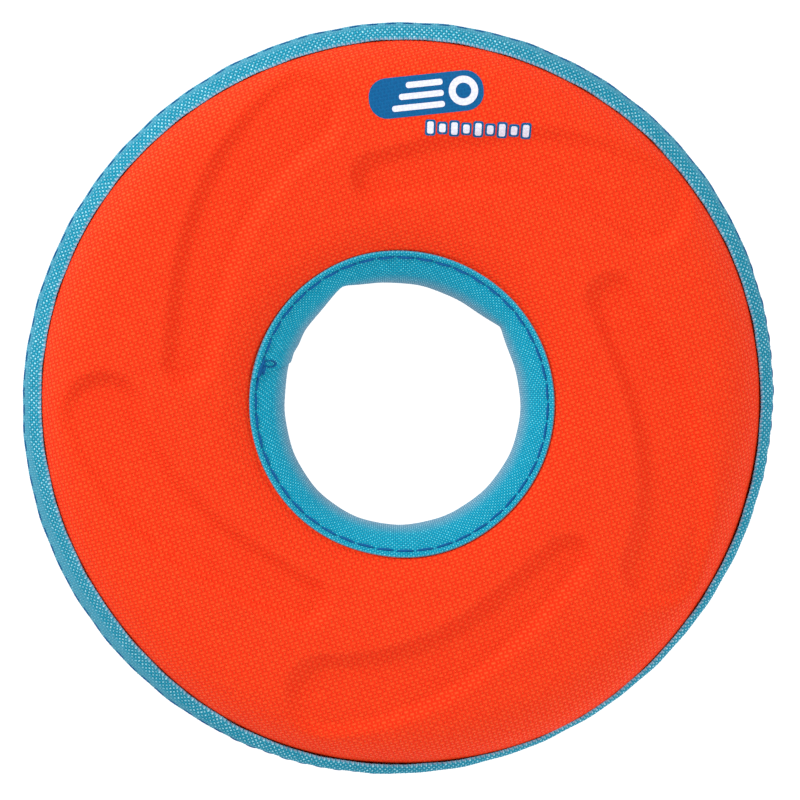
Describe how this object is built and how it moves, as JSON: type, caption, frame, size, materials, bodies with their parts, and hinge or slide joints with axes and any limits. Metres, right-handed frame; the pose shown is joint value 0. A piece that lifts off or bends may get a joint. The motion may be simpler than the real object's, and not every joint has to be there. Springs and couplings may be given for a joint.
{
  "type": "flying_ring",
  "caption": "Soft flying ring with an orange woven fabric cover over moulded foam, pressed-in swirls, light-blue woven binding at the rim and the hand hole, and dark-blue seams",
  "frame": {"origin": "on the ring's axis, in the plane of the lower flat face that it rests on", "axes": "+Z is the ring's axis, pointing up out of the printed top face; +Y points from the axis towards the badge; +X completes a right-handed set"},
  "size_m": [0.165, 0.165, 0.0202],
  "materials": {
    "cover_fabric": "coarse oxford weave, laminated and pressed",
    "foam": "closed-cell foam, moulded, hidden inside",
    "binding_tape": "woven binding tape with a selvedge",
    "hole_strip": "fine woven strip",
    "seam_thread": "twisted sewing thread",
    "blue_ink": "flexible transfer print",
    "white_ink": "flexible transfer print"
  },
  "bodies": {
    "root": {"top_cover": "cover_fabric", "bottom_cover": "cover_fabric", "top_foam_half": "foam", "bottom_foam_half": "foam", "outer_binding": "binding_tape", "inner_binding": "hole_strip", "outer_needle_stitches": "seam_thread", "outer_bobbin_stitches": "seam_thread", "inner_needle_stitches": "seam_thread", "inner_bobbin_stitches": "seam_thread", "lap_backtack": "seam_thread", "badge_ground": "blue_ink", "badge_mark": "white_ink", "tag_ground": "blue_ink", "tag_mark": "white_ink"}
  },
  "joints": []
}
